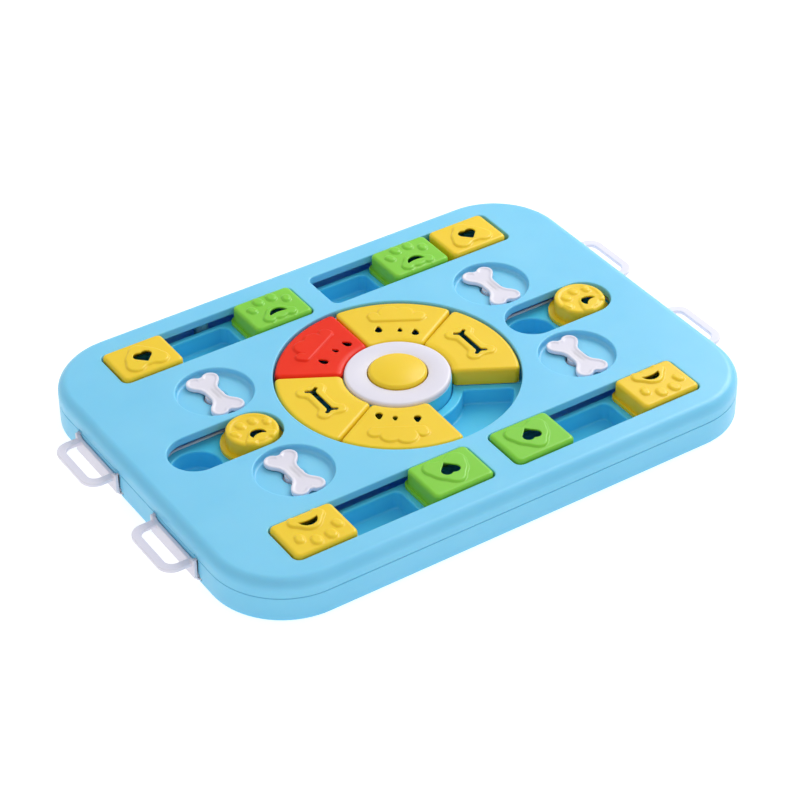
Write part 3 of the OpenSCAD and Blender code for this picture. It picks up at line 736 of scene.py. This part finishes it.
for name, turn in slider_turns.items():
    low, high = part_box(name)
    slider_top = high.z - 0.9 * MM
    slider_paw = placed(paw_pad, turn, SMALL_PAW, y0=-1.8)
    slider_toes = placed(paw_toes, turn, SMALL_PAW, y0=-2.2)
    bm = cap(disc(0, 0, SLIDER_R), placed(slider_cut, turn),
             relief(dish, swell(slider_paw, 1.0, 1.5), swell(slider_toes, 1.1, 2.2)),
             ((-SLIDER_R, SLIDER_R), (-SLIDER_R, SLIDER_R)), SLIDER_EDGE,
             (low.z - slider_top) / MM + FOOT_THICK, (SLIDER_FOOT, FOOT_THICK))
    put_cap(name, bm, middle(name), slider_top)
print(len(slider_turns), "round sliders")

# %% [markdown]
# ## The outline and motifs of a lid
# A lid is a sector of a ring, seen here from the middle of the wheel: x runs outwards
# and y across. Three lids show a cloud with three drops under it, and two have a bone.
# The top of each lid slopes down to the hub.

# %% Outline and motifs of the lids
LID_IN, LID_FOOT = 31.2, 2.9
SLOPE_WIDE, SLOPE_DEEP = 4.5, 1.1
lid_low, lid_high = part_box("wheel_lid_right")
lid_out = lid_high.x / MM - LID_FOOT
lid_half = math.radians(29.6)


def beside(sign):
    return lambda x, y: sign * y * math.cos(lid_half) - x * math.sin(lid_half)


def hub_slope(x, y):
    t = max(0, 1 - (math.hypot(x, y) - LID_IN) / SLOPE_WIDE)
    return -SLOPE_DEEP * t * t


def drop_hole(x, y, radius):
    return joined(radius * 0.6, disc(x, y, radius), disc(x + 0.95 * radius, y, 0.58 * radius),
                  disc(x + 1.6 * radius, y, 0.26 * radius))


lid_outline = common(1.2, disc(0, 0, lid_out), outside(disc(0, 0, LID_IN)), beside(1), beside(-1))
cloud = joined(0.8, rod(53.4, -15.2, 53.4, 11.6, 3.1), disc(55.2, -15.2, 4.4),
               disc(58.3, -6.5, 6.3), disc(59.3, 2.5, 6.8), disc(56.2, 11.6, 4.0))
drops = joined(0.1, drop_hole(42.4, 9.1, 2.2), drop_hole(41.6, -3.3, 1.5),
               drop_hole(38.6, -12.2, 2.2))
bone_frame = mirrored(3.0, rod(0, -9, 0, 9, 5.0), disc(5.0, 11.6, 4.4), disc(5.0, -11.6, 4.4))
bone_slit = mirrored(0.8, rod(0, -9.4, 0, 9.4, 1.5), rod(0, 9.4, 3.0, 11.3, 1.2),
                     rod(0, -9.4, 3.0, -11.3, 1.2))
print("lids run from", LID_IN, "to", round(lid_out, 1), "mm")

# %% [markdown]
# ## The wheel's lids
# Each lid is the same cap turned to its own place round the wheel. The sixth place stays
# free, so that a lid can be pushed on. The bones sit a little off the middle of their lids.

# %% Wheel lids
LID_EDGE = 2.1
lid_top = lid_high.z + 0.5 * MM
lid_span = ((LID_IN - 5, lid_out), (-36, 36))
bone_places = {"wheel_lid_right": (50.8, 1.5), "wheel_lid_left": (50.2, -1.0)}
lid_turns = {"wheel_lid_red": 119.3, "wheel_lid_back": 59.3, "wheel_lid_right": -0.7,
             "wheel_lid_left": 179.3, "wheel_lid_front": -120.7}
for name, turn in lid_turns.items():
    raised, pierced = cloud, drops
    if name in bone_places:
        raised, pierced = (across(shape, *bone_places[name]) for shape in (bone_frame, bone_slit))
    bm = cap(lid_outline, pierced, relief(hub_slope, swell(raised, 1.0, 1.4)), lid_span,
             LID_EDGE, (lid_low.z - lid_top) / MM)
    put_cap(name, bm, (0, 0), lid_top, turn)
print(len(lid_turns), "lids")

# %% [markdown]
# ## The bones
# Each bone has a soft rim round a dished top, which is hollowed once more along its
# shaft. A boss under it goes through the floor of the recess.

# %% Bones
BONE_EDGE, BONE_FOOT = 0.7, -2.3
BOSS_R, BOSS_TALL, BOSS_MIDDLE = 5.6, 3.2, -3.4
bone_outline = mirrored(1.6, disc(5.1, 14.4, 5.0), disc(5.1, -14.4, 5.0),
                        rod(0, -12.9, 0, 12.9, 4.1), rod(4.0, 12, 0, 7.0, 4.4),
                        rod(4.0, -12, 0, -7.0, 4.4))


def bone_dish(x, y):
    inner = min(max((-bone_outline(x, y) - 1.1) / 1.2, 0), 1)
    groove = math.exp(-(x * x) / 1.1 - (y / 5.4) ** 4)
    return -0.6 * inner * inner * (3 - 2 * inner) - 0.5 * groove


def no_hole(x, y):
    return 1000


for corner in ("back_left", "back_right", "front_left", "front_right"):
    name = "bone_" + corner
    bm = cap(bone_outline, no_hole, bone_dish, ((-10.4, 10.4), (-20, 20)), BONE_EDGE, BONE_FOOT)
    boss = bmesh.ops.create_cone(bm, cap_ends=True, segments=48, radius1=BOSS_R,
                                 radius2=BOSS_R, depth=BOSS_TALL)
    bmesh.ops.translate(bm, vec=(0, 0, BOSS_MIDDLE), verts=boss["verts"])
    put_cap(name, bm, middle(name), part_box(name)[1].z)
print("bones done")

# %% [markdown]
# ## Clips and feet
# The side clips are bent strips with a loop for a finger. Small roundings on all their
# edges are enough, and their two ears are lowered to the height that the picture shows.

# %% Clips and feet
def lower_ears(bm, ear=3.7 * MM, kept=0.6):
    shoulder = max(v.co.z for v in bm.verts) - ear
    for vert in bm.verts:
        if vert.co.z > shoulder + 0.1 * MM:
            vert.co.z = shoulder + (vert.co.z - shoulder) * kept


for name in nodes:
    if name.startswith("clip_") and name != "clip_pins":
        rounded_part(name, dict(width=0.55 * MM), reshape=lower_ears)
rounded_part("rubber_feet", fine_rounding)
print("clips and feet done")

# %% [markdown]
# ## The floor
# The toy stands on a plain white sweep. The sweep glows a little of its own, as a lit
# paper roll does, so it stays white under the toy.

# %% Floor
bm = bmesh.new()
bmesh.ops.create_grid(bm, x_segments=1, y_segments=1, size=4)
floor_mesh = bpy.data.meshes.new("floor")
bm.to_mesh(floor_mesh)
bm.free()
floor = bpy.data.objects.new("floor", floor_mesh)
bpy.context.scene.collection.objects.link(floor)
floor_material, floor_tree, floor_shader = new_material("floor_paint")
floor_place = add_node(floor_tree, "TexCoord", (-700, 0))
floor_noise = noise(floor_tree, floor_place.outputs["Object"], scale=6, detail=2, place=(-500, 0))
floor_rough = remap(floor_tree, floor_noise, low=0, high=1, to_low=0.88, to_high=0.96,
                    place=(-250, 0))
floor_tree.links.new(floor_rough, floor_shader.inputs["Roughness"])
set_inputs(floor_shader, Base_Color=(0.55, 0.55, 0.55, 1), Emission_Color=(1, 1, 1, 1),
           Emission_Strength=0.72, Specular_IOR_Level=0.1)
floor_mesh.materials.append(floor_material)
print("floor", floor.dimensions.x, "m wide")

# %% [markdown]
# ## The light
# A white surround gives the even base light. One broad softbox stands on the right, a
# little behind the toy, and points at its middle: it leaves the near and the left walls in
# shade and lines the right edges with light.

# %% Surround and lamp
KEY_PLACE = Vector((1.5, 0.55, 1.4))
KEY_SIZE, KEY_POWER = 1.2, 28
world = bpy.data.worlds.new("surround")
bpy.context.scene.world = world
world.use_nodes = True
set_inputs(world.node_tree.nodes["Background"], Color=(1, 1, 1, 1), Strength=0.69)
key_light = bpy.data.lights.new("key softbox", "AREA")
key_light.shape, key_light.energy = "RECTANGLE", KEY_POWER
key_light.size, key_light.size_y = KEY_SIZE, KEY_SIZE
key_lamp = bpy.data.objects.new("key softbox", key_light)
bpy.context.scene.collection.objects.link(key_lamp)
key_lamp.location = KEY_PLACE
key_lamp.rotation_euler = (-KEY_PLACE).to_track_quat("-Z", "Y").to_euler()
bpy.context.scene.view_settings.view_transform = "Standard"
bpy.context.scene.view_settings.look = "None"
print("softbox", round(KEY_PLACE.length, 2), "m away")
